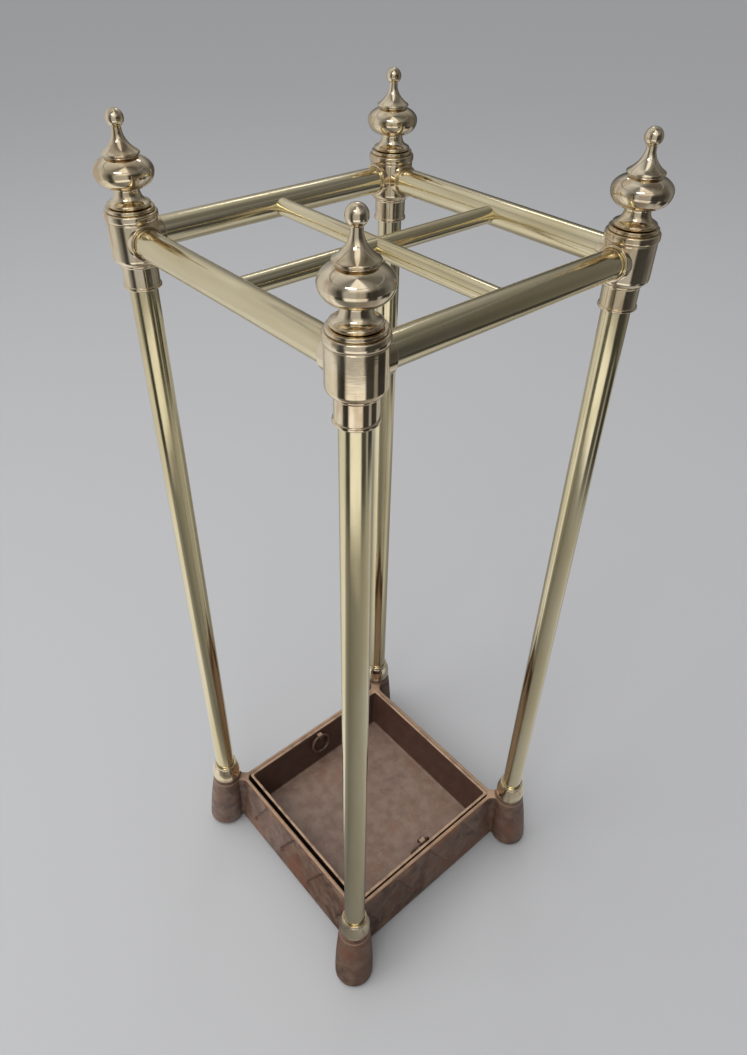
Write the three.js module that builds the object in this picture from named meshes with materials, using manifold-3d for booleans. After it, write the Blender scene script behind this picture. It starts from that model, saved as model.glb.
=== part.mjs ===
// Four-division umbrella and stick stand. A cast-iron base with splayed feet holds a lift-out drip
// tray. Four brass tubes stand on turned collars and carry cast corner sockets, which hold the brass
// top rails. Steel tie rods, from a nut in each foot to the finial on top, draw each corner together.
// Millimetres, +Z up, origin on the floor under the middle of the stand, front towards -Y.
import * as THREE from "three";
import { mergeVertices } from "three/addons/utils/BufferGeometryUtils.js";
import Module from "manifold-3d";

// ---- Driving dimensions ----

// Clearance between pieces that seat on or in each other
const GAP = 0.3;

// Overall
const AXIS_SPACING = 186; // from one upright's axis to the next, on all four sides
const UPRIGHT_LENGTH = 478;

// Brass tube of the uprights and the top rails, and solid bar of the cross bars
const TUBE_R = 7.95;
const TUBE_WALL = 1.2;
const CROSS_BAR_R = 5;
const SPIGOT_R = 3.6; // a cross bar's end, where it enters a rail
const SPIGOT_DEPTH = 2; // how far it reaches past the inside of the rail's wall

// Walls of the base casting
const WALL_HEIGHT = 62; // top of the rim
const WALL_FOOT = 3; // height of the wall's lower edge above the floor
const WALL_FLARE = 5.5; // how far the lower edge stands out beyond the rim
const WALL_THICKNESS = 2.6;
const RIM_INSET = 10.5; // from an upright's axis in to the rim's outer face
const CORNER_R = 1.5;
const INNER_CORNER_R = 0.5;
const LIP_PROUD = 0.8;
const LIP_HEIGHT = 3;
const LEDGE_THICKNESS = 4;
const LEDGE_LAP = 6; // how far the ledge reaches under the tray

// Pendant triangles cast in relief on each wall
const PENDANTS = 4;
const PENDANT_TIP_HEIGHT = 24;
const PENDANT_SPACE = 2; // left between neighbours along the lip
const RELIEF = 2;
const PELLET_R = 2;

// Feet and the webs that join them to the walls' corners
const FOOT_RISE = 5; // of the foot's top above the rim
const FOOT_BOTTOM_R = 15.8;
const FOOT_SPLAY = 6; // of the sole beyond the upright's axis, along the diagonal
const FOOT_EDGE = 5.5;
const FOOT_SWELL = 0.8; // of its sides, halfway up
const WEB_WIDTH = 9;
const WEB_RISE = 1; // of the web's top above the rim
const WEB_FOOT = 8; // height of the web's lower edge above the floor
const NUT_RECESS_R = 7.2;
const NUT_RECESS_DEPTH = 13;

// Drip tray
const TRAY_DEPTH = 38;
const TRAY_PROUD = 1; // of the tray's rim above the base's rim
const TRAY_THICKNESS = 2.4;
const TRAY_DRAFT = 8.5; // how far its walls lean in from rim to floor
const TRAY_GAP_SIDE = 1.5; // between tray and base at the left and right
const TRAY_GAP_FRONT = 0.4; // between tray and base at the front and back
const TRAY_SHIFT = 1.1; // the tray sits this far towards the right

// Ring pulls and their eyes on the tray's front and back walls
const RING_R = 9.5; // to the middle of the wire
const RING_WIRE_R = 1.4;
const EYE_WIDTH = 5;
const EYE_WALL = 1.8;
const EYE_DROP = 4; // of the eye's axis below the tray's rim
const EYE_STANDOFF = 3.2; // of the eye's axis from the tray's wall

// Turned collar between a foot and an upright
const COLLAR_HEIGHT = 17;
const COLLAR_FLOOR = 5; // under the upright's seat
const COLLAR_WALL = 3.95;
const COLLAR_OVERHANG = 0.2; // of the collar over the foot's top
const COLLAR_BAND = 5; // height of its straight lower band
const COLLAR_LIP_WALL = 1.4; // of the thin lip on top
const COLLAR_LIP_HEIGHT = 2;

// Corner socket
const NECK_WALL = 1.65;
const NECK_LENGTH = 14;
const NECK_FLOOR = 6; // of metal between the upright's seat and the rails' bores
const PORT_WALL = 1.35;
const PORT_DEPTH = 4.6; // how far a rail enters
const PORT_FLOOR = 1.75; // of metal between a rail's end and its neighbour's bore
const BARREL_WALL = 5.35;
const BARREL_EDGE = 3; // height of the rounding under the barrel
const BARREL_LAND = 0.3; // above and below the ports
const BEAD_PROUD = 0.7;
const BEAD_HEIGHT = 4.6;
const STEP_INSET = 0.8; // of the step on top, in from the barrel
const STEP_HEIGHT = 2;

// Finial, from its seat upwards
const CUP_R = 11.4;
const CUP_EDGE = 1.4;
const CUP_HEIGHT = 5;
const FINIAL_NECK_R = 6.7;
const BULB_R = 15.6;
const BULB_LOWER = 12.3; // from the finial's neck up to the bulb's widest
const BULB_UPPER = 8.4; // the upper curve's half-height
const SKIRT_R = 9.7;
const SKIRT_GROOVE = 1.1;
const SKIRT_EDGE = 0.8; // height of the skirt's upright edge
const SPIRE_HEIGHT = 11.5;
const SPIRE_NECK_R = 2.5;
const SPIRE_FLARE = 45; // slope of the spire at its foot, in degrees
const BALL_R = 4.6;

// Tie rod, nut and washer
const ROD_R = 3;
const ROD_END = 4; // height of the rod's lower end above the floor
const ROD_IN_FINIAL = 17;
const NUT_R = 5.77; // across corners
const NUT_HEIGHT = 5;
const WASHER_R = 6.6;
const WASHER_THICKNESS = 1.6;

// Sides of a round piece in this model
const ROUND = 16;
const SMALL_ROUND = 12;

// ---- Sizes and places worked out from them ----

const axis = AXIS_SPACING / 2;
const tubeBoreR = TUBE_R + GAP;
const rodBoreR = ROD_R + GAP + 0.1;
const footHeight = WALL_HEIGHT + FOOT_RISE;
const collarR = tubeBoreR + COLLAR_WALL;
const footTopR = collarR - COLLAR_OVERHANG;
const collarBase = footHeight + GAP;
const uprightBase = collarBase + COLLAR_FLOOR + GAP;
const uprightTop = uprightBase + UPRIGHT_LENGTH;

const neckR = tubeBoreR + NECK_WALL;
const portR = tubeBoreR + PORT_WALL;
const barrelR = tubeBoreR + BARREL_WALL;
const railSeat = tubeBoreR + PORT_FLOOR; // from the upright's axis
const portEnd = railSeat + PORT_DEPTH;
const railInSocket = NECK_LENGTH + BARREL_EDGE + BARREL_LAND + portR; // above the socket's base
const barrelTop = railInSocket + portR + BARREL_LAND;
const socketTop = barrelTop + BEAD_HEIGHT + STEP_HEIGHT;
const neckBoreDepth = railInSocket - tubeBoreR - NECK_FLOOR;
const socketBase = uprightTop + GAP - neckBoreDepth;
const railHeight = socketBase + railInSocket;
const finialBase = socketBase + socketTop + GAP;

const rimHalf = axis - RIM_INSET;
const trayRimHeight = WALL_HEIGHT + TRAY_PROUD;
const trayBase = trayRimHeight - TRAY_DEPTH;
const trayFloor = trayBase + TRAY_THICKNESS;
const trayHalfX = rimHalf - WALL_THICKNESS - TRAY_GAP_SIDE;
const trayHalfY = rimHalf - WALL_THICKNESS - TRAY_GAP_FRONT;
const trayLean = Math.atan(TRAY_DRAFT / (trayRimHeight - trayFloor));
const ledgeTop = trayBase - GAP;

// The wire's arc bows inside the eye, so the hole is wider than the wire by that much and a gap.
const wireBow = RING_R - Math.sqrt(RING_R ** 2 - (EYE_WIDTH / 2) ** 2);
const eyeHoleR = RING_WIRE_R + wireBow + GAP;
const eyeR = eyeHoleR + EYE_WALL;
const eyeHeight = trayRimHeight - EYE_DROP;

// ---- Shapes ----

const wasm = await Module();
wasm.setup();

// A closed mesh as a solid that can be joined and cut
function solid(geometry) {
  const bare = geometry.clone();
  bare.deleteAttribute("normal");
  bare.deleteAttribute("uv");
  const merged = mergeVertices(bare, 1e-4);
  const vertProperties = new Float32Array(merged.attributes.position.array);
  const triVerts = new Uint32Array(merged.index.array);
  return new wasm.Manifold(new wasm.Mesh({ numProp: 3, vertProperties, triVerts }));
}

function geometryOf(made) {
  const mesh = made.getMesh();
  const geometry = new THREE.BufferGeometry();
  geometry.setAttribute("position", new THREE.BufferAttribute(mesh.vertProperties, 3));
  geometry.setIndex(new THREE.BufferAttribute(mesh.triVerts, 1));
  geometry.computeVertexNormals();
  return geometry;
}

// A round piece turned about +Z from its half outline, a list of [radius, height]
function turned(outline, sides = ROUND) {
  const points = outline.map(([r, z]) => new THREE.Vector2(r, z));
  return new THREE.LatheGeometry(points, sides).rotateX(Math.PI / 2);
}

// Points of an elliptical arc in a half outline, without its first point
function arc([r, z], [radiusR, radiusZ], fromDegrees, toDegrees, steps) {
  return Array.from({ length: steps }, (_, i) => {
    const t = THREE.MathUtils.degToRad(
      fromDegrees + ((toDegrees - fromDegrees) * (i + 1)) / steps,
    );
    return [r + radiusR * Math.cos(t), z + radiusZ * Math.sin(t)];
  });
}

// A solid rod about +Z
function rod(radius, from, to, sides = ROUND) {
  return turned([[0, from], [radius, from], [radius, to], [0, to]], sides);
}

// A tube or washer about +Z
function pipe(outer, inner, from, to, sides = ROUND) {
  return turned([[inner, from], [outer, from], [outer, to], [inner, to], [inner, from]], sides);
}

// A block with rounded upright corners, whose sides lean from one pair of half-sizes to another
function leaningBlock([bottomX, bottomY], [topX, topY], from, to, radius) {
  const shape = new THREE.Shape();
  const x = bottomX - radius;
  const y = bottomY - radius;
  shape.absarc(x, y, radius, 0, Math.PI / 2);
  shape.absarc(-x, y, radius, Math.PI / 2, Math.PI);
  shape.absarc(-x, -y, radius, Math.PI, 1.5 * Math.PI);
  shape.absarc(x, -y, radius, 1.5 * Math.PI, 2 * Math.PI);
  const block = new THREE.ExtrudeGeometry(shape, {
    depth: to - from,
    bevelEnabled: false,
    curveSegments: 3,
  });
  const p = block.attributes.position;
  for (let i = 0; i < p.count; i++) {
    if (p.getZ(i) === 0) continue;
    const leanX = Math.sign(p.getX(i)) * (topX - bottomX);
    const leanY = Math.sign(p.getY(i)) * (topY - bottomY);
    p.setXY(i, p.getX(i) + leanX, p.getY(i) + leanY);
  }
  return block.translate(0, 0, from);
}

// Each corner's sides, and the quarter turn that brings the front-left corner's piece to it
const corners = [
  { name: "front_left", x: -1, y: -1, quarter: 0 },
  { name: "front_right", x: 1, y: -1, quarter: 1 },
  { name: "back_right", x: 1, y: 1, quarter: 2 },
  { name: "back_left", x: -1, y: 1, quarter: 3 },
];
const quarterTurn = (quarter) => (quarter * Math.PI) / 2;

// ---- Base casting ----

// Half-size of the walls' outer face at a height
function wallHalf(z) {
  return rimHalf + (WALL_FLARE * (WALL_HEIGHT - z)) / (WALL_HEIGHT - WALL_FOOT);
}

// A foot leans out along its corner's diagonal. Its sides swell, and its sole has a rounded edge.
function foot(corner) {
  const swollen = [0.25, 0.5, 0.75].map((t) => [
    FOOT_BOTTOM_R + (footTopR - FOOT_BOTTOM_R) * t + 4 * FOOT_SWELL * t * (1 - t),
    FOOT_EDGE + (footHeight - FOOT_EDGE) * t,
  ]);
  const outline = [
    [0, 0],
    [FOOT_BOTTOM_R - FOOT_EDGE, 0],
    ...arc([FOOT_BOTTOM_R - FOOT_EDGE, FOOT_EDGE], [FOOT_EDGE, FOOT_EDGE], -90, 0, 3),
    ...swollen,
    [footTopR, footHeight],
    [0, footHeight],
  ];
  const made = turned(outline);
  const p = made.attributes.position;
  for (let i = 0; i < p.count; i++) {
    const out = (FOOT_SPLAY * Math.SQRT1_2 * (footHeight - p.getZ(i))) / footHeight;
    p.setXY(i, p.getX(i) + corner.x * out, p.getY(i) + corner.y * out);
  }
  return solid(made.translate(corner.x * axis, corner.y * axis, 0));
}

function web(corner) {
  const from = (rimHalf - WALL_THICKNESS) * Math.SQRT2;
  const to = axis * Math.SQRT2;
  const height = WALL_HEIGHT + WEB_RISE - WEB_FOOT;
  const made = new THREE.BoxGeometry(to - from, WEB_WIDTH, height);
  made.translate((from + to) / 2, 0, WEB_FOOT + height / 2);
  return solid(made.rotateZ(Math.atan2(corner.y, corner.x)));
}

// The pendants of the front wall: triangles hanging from the lip, each with a pellet at its tip
function frontPendants() {
  const top = WALL_HEIGHT - LIP_HEIGHT;
  const lean = Math.atan(WALL_FLARE / (WALL_HEIGHT - WALL_FOOT));
  const along = new THREE.Vector3(1, 0, 0);
  const up = new THREE.Vector3(0, Math.sin(lean), Math.cos(lean));
  const out = new THREE.Vector3().crossVectors(along, up);
  const drop = (top - PENDANT_TIP_HEIGHT) / Math.cos(lean);
  const pitch = (2 * (rimHalf - CORNER_R)) / PENDANTS;
  const halfWidth = (pitch - PENDANT_SPACE) / 2;
  const outline = new THREE.Shape([
    new THREE.Vector2(-halfWidth, LIP_HEIGHT / 2),
    new THREE.Vector2(-halfWidth, 0),
    new THREE.Vector2(0, -drop),
    new THREE.Vector2(halfWidth, 0),
    new THREE.Vector2(halfWidth, LIP_HEIGHT / 2),
  ]);
  const sunk = WALL_THICKNESS / 2;
  return Array.from({ length: PENDANTS }, (_, i) => {
    const panel = new THREE.ExtrudeGeometry(outline, { depth: RELIEF + sunk, bevelEnabled: false });
    const pellet = new THREE.SphereGeometry(PELLET_R, 6, 4).translate(0, -drop, sunk + RELIEF / 2);
    const place = new THREE.Matrix4().makeBasis(along, up, out);
    const x = (i - (PENDANTS - 1) / 2) * pitch;
    place.setPosition(new THREE.Vector3(x, -wallHalf(top), top).addScaledVector(out, -sunk));
    return solid(panel).add(solid(pellet)).transform(place.elements);
  }).reduce((all, one) => all.add(one));
}

function baseCasting() {
  const square = (half) => [half, half];
  const block = (halfAt, from, to, radius) =>
    solid(leaningBlock(square(halfAt(from)), square(halfAt(to)), from, to, radius));
  const innerHalf = (z) => wallHalf(z) - WALL_THICKNESS;
  const lipHalf = () => rimHalf + LIP_PROUD;
  const ledgeHalf = () => trayHalfX - TRAY_DRAFT - LEDGE_LAP;
  const beyond = 1; // cuts run this far past the metal

  let made = block(wallHalf, WALL_FOOT, WALL_HEIGHT, CORNER_R);
  made = made.add(block(lipHalf, WALL_HEIGHT - LIP_HEIGHT, WALL_HEIGHT, CORNER_R));
  const pendants = frontPendants();
  for (const corner of corners) {
    const turnedPendants = pendants.rotate([0, 0, 90 * corner.quarter]);
    made = made.add(turnedPendants).add(foot(corner)).add(web(corner));
  }
  const inside = block(innerHalf, WALL_FOOT - beyond, footHeight, INNER_CORNER_R);
  made = made.subtract(inside);

  const intoWall = (z) => innerHalf(z) + WALL_THICKNESS / 2;
  const ledge = block(intoWall, ledgeTop - LEDGE_THICKNESS, ledgeTop, CORNER_R);
  const opening = block(ledgeHalf, ledgeTop - LEDGE_THICKNESS - beyond, ledgeTop + beyond, CORNER_R);
  made = made.add(ledge.subtract(opening));

  for (const corner of corners) {
    const bore = solid(rod(rodBoreR, -beyond, footHeight + beyond));
    const recess = solid(rod(NUT_RECESS_R, -beyond, NUT_RECESS_DEPTH));
    made = made.subtract(bore.add(recess).translate([corner.x * axis, corner.y * axis, 0]));
  }
  return geometryOf(made);
}

// ---- Drip tray and its ring pulls ----

// Distance from the tray's middle to the inner face of its front or back wall, at a height
function trayInnerY(z) {
  return trayHalfY - TRAY_THICKNESS - Math.tan(trayLean) * (trayRimHeight - z);
}

const eyeY = trayInnerY(eyeHeight) - EYE_STANDOFF;

function dripTray() {
  const outerTop = [trayHalfX, trayHalfY];
  const outerBottom = outerTop.map((half) => half - TRAY_DRAFT);
  const beyond = 1;
  const innerAt = (z) =>
    outerTop.map((half) => half - TRAY_THICKNESS - Math.tan(trayLean) * (trayRimHeight - z));
  const inside = leaningBlock(
    innerAt(trayFloor),
    innerAt(trayRimHeight + beyond),
    trayFloor,
    trayRimHeight + beyond,
    INNER_CORNER_R,
  );
  let made = solid(leaningBlock(outerBottom, outerTop, trayBase, trayRimHeight, CORNER_R));
  made = made.subtract(solid(inside));
  for (const side of [-1, 1]) {
    const wallY = trayInnerY(eyeHeight) + TRAY_THICKNESS / 2;
    const barrel = rod(eyeR, -EYE_WIDTH / 2, EYE_WIDTH / 2, SMALL_ROUND).rotateY(Math.PI / 2);
    const stem = new THREE.BoxGeometry(EYE_WIDTH, wallY - eyeY, 2 * EYE_WALL + eyeHoleR);
    const hole = rod(eyeHoleR, -EYE_WIDTH, EYE_WIDTH, SMALL_ROUND).rotateY(Math.PI / 2);
    barrel.translate(0, side * eyeY, eyeHeight);
    stem.translate(0, (side * (wallY + eyeY)) / 2, eyeHeight);
    hole.translate(0, side * eyeY, eyeHeight);
    made = made.add(solid(barrel)).add(solid(stem)).subtract(solid(hole));
  }
  return geometryOf(made.translate([TRAY_SHIFT, 0, 0]));
}

// A ring hangs from its eye and leans on the tray's wall. Its group turns about the eye's axis.
function ringPull(side, name) {
  const reach = EYE_STANDOFF - RING_WIRE_R - GAP;
  const lean = trayLean - Math.asin(reach / (2 * RING_R));
  const ring = new THREE.TorusGeometry(RING_R, RING_WIRE_R, 8, 20).translate(0, -RING_R, 0);
  const piece = new THREE.Mesh(ring.rotateX(Math.PI / 2), paint(IRON));
  piece.name = name;
  piece.position.set(TRAY_SHIFT, side * eyeY, eyeHeight);
  piece.rotation.x = -side * lean;
  return piece;
}

// ---- Brass work ----

function collar() {
  const edge = 1; // rounding of the collar's lower edge
  const lipR = tubeBoreR + COLLAR_LIP_WALL;
  const domeTop = COLLAR_HEIGHT - COLLAR_LIP_HEIGHT;
  const outline = [
    [rodBoreR, 0],
    [collarR - edge, 0],
    ...arc([collarR - edge, edge], [edge, edge], -90, 0, 2),
    [collarR, COLLAR_BAND],
    ...arc([lipR, COLLAR_BAND], [collarR - lipR, domeTop - COLLAR_BAND], 0, 90, 4),
    [lipR, COLLAR_HEIGHT],
    [tubeBoreR, COLLAR_HEIGHT],
    [tubeBoreR, COLLAR_FLOOR],
    [rodBoreR, COLLAR_FLOOR],
    [rodBoreR, 0],
  ];
  return turned(outline);
}

// Built with its ports towards +X and +Y, as the front-left corner needs
function cornerSocket() {
  const foot = 0.7; // radius of the small bead round the neck's lower end
  const beadR = barrelR + BEAD_PROUD;
  const beadMiddle = barrelTop + BEAD_HEIGHT / 2;
  const outline = [
    [0, 0],
    [neckR, 0],
    ...arc([neckR, foot], [foot, foot], -90, 90, 2),
    [neckR, NECK_LENGTH - 0.8],
    [neckR + 0.8, NECK_LENGTH],
    ...arc([barrelR - 1.6, NECK_LENGTH + BARREL_EDGE], [1.6, BARREL_EDGE], -90, 0, 2),
    [barrelR, barrelTop],
    ...arc([beadR - 1.4, beadMiddle], [1.4, BEAD_HEIGHT / 2], -90, 75, 3),
    [barrelR - STEP_INSET, barrelTop + BEAD_HEIGHT],
    [barrelR - STEP_INSET, socketTop],
    [0, socketTop],
  ];
  const beyond = 1;
  let made = solid(turned(outline));
  let cuts = solid(rod(tubeBoreR, -beyond, neckBoreDepth));
  cuts = cuts.add(solid(rod(rodBoreR, 0, socketTop + beyond, SMALL_ROUND)));
  for (const face of [(g) => g.rotateY(Math.PI / 2), (g) => g.rotateX(-Math.PI / 2)]) {
    const port = face(rod(portR, 0, portEnd)).translate(0, 0, railInSocket);
    const bore = face(rod(tubeBoreR, railSeat, portEnd + beyond)).translate(0, 0, railInSocket);
    made = made.add(solid(port));
    cuts = cuts.add(solid(bore));
  }
  return geometryOf(made.subtract(cuts));
}

function finial() {
  const bulbTop = Math.acos((SKIRT_R - SKIRT_GROOVE) / BULB_R) * THREE.MathUtils.RAD2DEG;
  const bulbHeight = CUP_HEIGHT + BULB_LOWER;
  const lowerR = BULB_R - FINIAL_NECK_R; // half-width of the bulb's lower curve
  const skirtHeight = bulbHeight + BULB_UPPER * Math.sin(bulbTop * THREE.MathUtils.DEG2RAD);
  const spireBase = skirtHeight + SKIRT_GROOVE;
  const spireTop = spireBase + SPIRE_HEIGHT;
  const flare = THREE.MathUtils.degToRad(SPIRE_FLARE);
  const flareR = (SKIRT_R - SPIRE_NECK_R) / (1 - Math.cos(flare));
  const flareHeight = (SPIRE_HEIGHT - SKIRT_EDGE) / Math.sin(flare);
  const ballSeat = Math.asin(SPIRE_NECK_R / BALL_R);
  const ballHeight = spireTop + 1 + BALL_R * Math.cos(ballSeat);
  const boreTop = ROD_IN_FINIAL + 2 * GAP;
  const outline = [
    [rodBoreR, 0],
    [CUP_R - 0.6, 0],
    [CUP_R, CUP_EDGE / 2],
    [CUP_R - 0.3, CUP_EDGE],
    ...arc([CUP_R - 0.3, CUP_HEIGHT], [CUP_R - 0.3 - FINIAL_NECK_R, CUP_HEIGHT - CUP_EDGE], 270, 180, 3),
    [FINIAL_NECK_R + 1.2, CUP_HEIGHT + BULB_LOWER / 4],
    ...arc([FINIAL_NECK_R, bulbHeight], [lowerR, 0.7 * BULB_LOWER], -75, 0, 4),
    ...arc([0, bulbHeight], [BULB_R, BULB_UPPER], 0, bulbTop, 3),
    [SKIRT_R, spireBase],
    [SKIRT_R, spireBase + SKIRT_EDGE],
    ...arc([SPIRE_NECK_R + flareR, spireTop], [flareR, flareHeight], 180 + SPIRE_FLARE, 180, 3),
    ...arc([0, ballHeight], [BALL_R, BALL_R], -90 + ballSeat * THREE.MathUtils.RAD2DEG, 90, 5),
    [0, boreTop],
    [rodBoreR, boreTop],
    [rodBoreR, 0],
  ];
  return turned(outline);
}

// A rail along X with its middle at the origin, its cross bar's hole facing +Y
function rail() {
  const half = axis - railSeat - GAP;
  const tube = pipe(TUBE_R, TUBE_R - TUBE_WALL, -half, half).rotateY(Math.PI / 2);
  const hole = rod(SPIGOT_R + GAP, 0, TUBE_R + 1, SMALL_ROUND).rotateX(-Math.PI / 2);
  return geometryOf(solid(tube).subtract(solid(hole)));
}

// A cross bar along X. Its ends are coped to the rails, each with a spigot into the rail's hole, and
// half its thickness is cut away in the middle, where the two bars cross: above, or below if under.
function crossBar(under) {
  const spigotEnd = axis - TUBE_R + TUBE_WALL + SPIGOT_DEPTH;
  let made = solid(rod(CROSS_BAR_R, -axis, axis, 16).rotateY(Math.PI / 2));
  for (const side of [-1, 1]) {
    const cope = rod(tubeBoreR, -2 * CROSS_BAR_R, 2 * CROSS_BAR_R, 32).rotateX(Math.PI / 2);
    made = made.subtract(solid(cope.translate(side * axis, 0, 0)));
  }
  const spigot = rod(SPIGOT_R, -spigotEnd, spigotEnd, SMALL_ROUND).rotateY(Math.PI / 2);
  made = made.add(solid(spigot));
  const notch = new THREE.BoxGeometry(2 * (CROSS_BAR_R + GAP), 3 * CROSS_BAR_R, 3 * CROSS_BAR_R);
  const level = 1.5 * CROSS_BAR_R - GAP / 2;
  notch.translate(0, 0, under ? -level : level);
  return geometryOf(made.subtract(solid(notch)));
}

// ---- Fixings ----

const washerTop = NUT_RECESS_DEPTH - GAP;
const nutTop = washerTop - WASHER_THICKNESS - GAP;
const rodTop = finialBase + ROD_IN_FINIAL;

function tieRod() {
  return rod(ROD_R, ROD_END, rodTop, SMALL_ROUND);
}

function nut() {
  const blank = solid(rod(NUT_R, nutTop - NUT_HEIGHT, nutTop, 6));
  const thread = solid(rod(ROD_R + GAP, 0, nutTop + 1, SMALL_ROUND));
  return geometryOf(blank.subtract(thread));
}

function washer() {
  return pipe(WASHER_R, rodBoreR, washerTop - WASHER_THICKNESS, washerTop);
}

// ---- Finishes ----

const BRASS = { color: 0xb8a468, roughness: 0.2, metalness: 1 };
const IRON = { color: 0x4e3b30, roughness: 0.55, metalness: 0.4 };
const TRAY_IRON = { color: 0x5a463b, roughness: 0.5, metalness: 0.4 };
const STEEL = { color: 0x8a8c8f, roughness: 0.4, metalness: 1 };

function paint(finish) {
  return new THREE.MeshStandardMaterial(finish);
}

// ---- Assembly ----

const stand = new THREE.Group();

function place(geometry, name, finish, [x, y, z] = [0, 0, 0], turn = 0) {
  const piece = new THREE.Mesh(geometry, paint(finish));
  piece.name = name;
  piece.position.set(x, y, z);
  piece.rotation.z = turn;
  stand.add(piece);
}

place(baseCasting(), "base_casting", IRON);
place(dripTray(), "drip_tray", TRAY_IRON);
stand.add(ringPull(-1, "ring_pull_front"), ringPull(1, "ring_pull_back"));

for (const { name, x, y, quarter } of corners) {
  const at = (z) => [x * axis, y * axis, z];
  const upright = pipe(TUBE_R, TUBE_R - TUBE_WALL, 0, UPRIGHT_LENGTH);
  place(collar(), "foot_collar_" + name, BRASS, at(collarBase));
  place(upright, "upright_" + name, BRASS, at(uprightBase));
  place(cornerSocket(), "corner_socket_" + name, BRASS, at(socketBase), quarterTurn(quarter));
  place(finial(), "finial_" + name, BRASS, at(finialBase));
  place(tieRod(), "tie_rod_" + name, STEEL, at(0));
  place(nut(), "nut_" + name, STEEL, at(0));
  place(washer(), "washer_" + name, STEEL, at(0));
}

["front", "right", "back", "left"].forEach((side, quarter) => {
  const turn = quarterTurn(quarter);
  const at = [axis * Math.sin(turn), -axis * Math.cos(turn), railHeight];
  place(rail(), "rail_" + side, BRASS, at, turn);
});
place(crossBar(false), "cross_bar_left_right", BRASS, [0, 0, railHeight]);
place(crossBar(true), "cross_bar_front_back", BRASS, [0, 0, railHeight], quarterTurn(1));

export default stand;
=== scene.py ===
import math

import bmesh
import bpy
from mathutils import Matrix, Vector
from mathutils.bvhtree import BVHTree


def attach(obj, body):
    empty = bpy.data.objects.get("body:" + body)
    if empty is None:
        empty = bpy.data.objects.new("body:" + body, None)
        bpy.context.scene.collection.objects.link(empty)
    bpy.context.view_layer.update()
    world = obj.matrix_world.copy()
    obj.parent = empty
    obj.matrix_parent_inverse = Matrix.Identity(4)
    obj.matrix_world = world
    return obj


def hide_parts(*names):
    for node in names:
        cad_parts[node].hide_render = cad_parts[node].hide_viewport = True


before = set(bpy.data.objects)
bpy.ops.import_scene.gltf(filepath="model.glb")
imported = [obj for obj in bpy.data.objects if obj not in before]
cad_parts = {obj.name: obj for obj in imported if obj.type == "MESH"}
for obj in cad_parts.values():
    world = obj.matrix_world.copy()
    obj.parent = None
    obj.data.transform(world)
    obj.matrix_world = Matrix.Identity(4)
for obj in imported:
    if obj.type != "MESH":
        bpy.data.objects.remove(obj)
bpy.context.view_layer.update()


# ---- Base casting ----
# One casting in grey iron, poured in sand: a square box frame with pendants in relief, four webs
# and four splayed feet. It is brown-lacquered, worn pale along the rim, and carries the stand.

MM = 0.001  # lengths are in millimetres, and a piece is scaled to metres when it is placed
AXIS = 93.0  # from the stand's middle to an upright's axis, along X and along Y
CORNERS = {"front_left": (-1, -1), "front_right": (1, -1), "back_right": (1, 1),
           "back_left": (-1, 1)}
RIM_HALF, RIM_TOP = 82.5, 62.0
SKIRT_HALF, SKIRT_FOOT = 88.0, 3.0  # the walls flare out towards their lower edge
WALL = 2.6
FOOT_TOP = 67.0
FULL_TURN = 2 * math.pi
QUARTER_TURN = math.pi / 2


def softened(outline, steps=4):
    """The points of an outline of (across, height, rounding), with each corner rounded."""
    points = []
    for i, (across, height, rounding) in enumerate(outline):
        corner = Vector((across, height))
        if not rounding:
            points.append(corner)
            continue
        sides = [Vector(outline[j % len(outline)][:2]) - corner for j in (i - 1, i + 1)]
        start, end = (corner + s.normalized() * min(rounding, 0.48 * s.length) for s in sides)
        for k in range(steps + 1):
            t = k / steps
            points.append(start * (1 - t) ** 2 + corner * (2 * t * (1 - t)) + end * t ** 2)
    return points


def drawn_square(outline, corner, cuts=0, capped=False):
    """A rounded square frame, or a dish if capped, drawn through points of (half-width, height)."""
    bm = bmesh.new()
    bmesh.ops.create_grid(bm, x_segments=1, y_segments=1, size=1)
    bmesh.ops.bevel(bm, geom=bm.verts[:], offset=corner / outline[0][0], offset_type="OFFSET",
                    segments=6, profile=0.5, affect="VERTICES", material=-1)
    if cuts:
        straight = [e for e in bm.edges if e.calc_length() > 1]
        bmesh.ops.subdivide_edges(bm, edges=straight, cuts=cuts)
    if not capped:
        bmesh.ops.delete(bm, geom=bm.faces[:], context="FACES_ONLY")
    loop = bm.edges[:]
    first = loop
    half, height = outline[0]
    bmesh.ops.scale(bm, vec=(half, half, 1), verts=bm.verts[:])
    bmesh.ops.translate(bm, vec=(0, 0, height), verts=bm.verts[:])
    for next_half, next_height in outline[1:]:
        made = bmesh.ops.extrude_edge_only(bm, edges=loop)["geom"]
        loop = [g for g in made if isinstance(g, bmesh.types.BMEdge)]
        ring = [g for g in made if isinstance(g, bmesh.types.BMVert)]
        bmesh.ops.scale(bm, vec=(next_half / half, next_half / half, 1), verts=ring)
        bmesh.ops.translate(bm, vec=(0, 0, next_height - height), verts=ring)
        half, height = next_half, next_height
    if capped:
        bmesh.ops.edgeloop_fill(bm, edges=loop)
    else:
        bmesh.ops.bridge_loops(bm, edges=first + loop)
    bmesh.ops.recalc_face_normals(bm, faces=bm.faces[:])
    return bm


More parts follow.
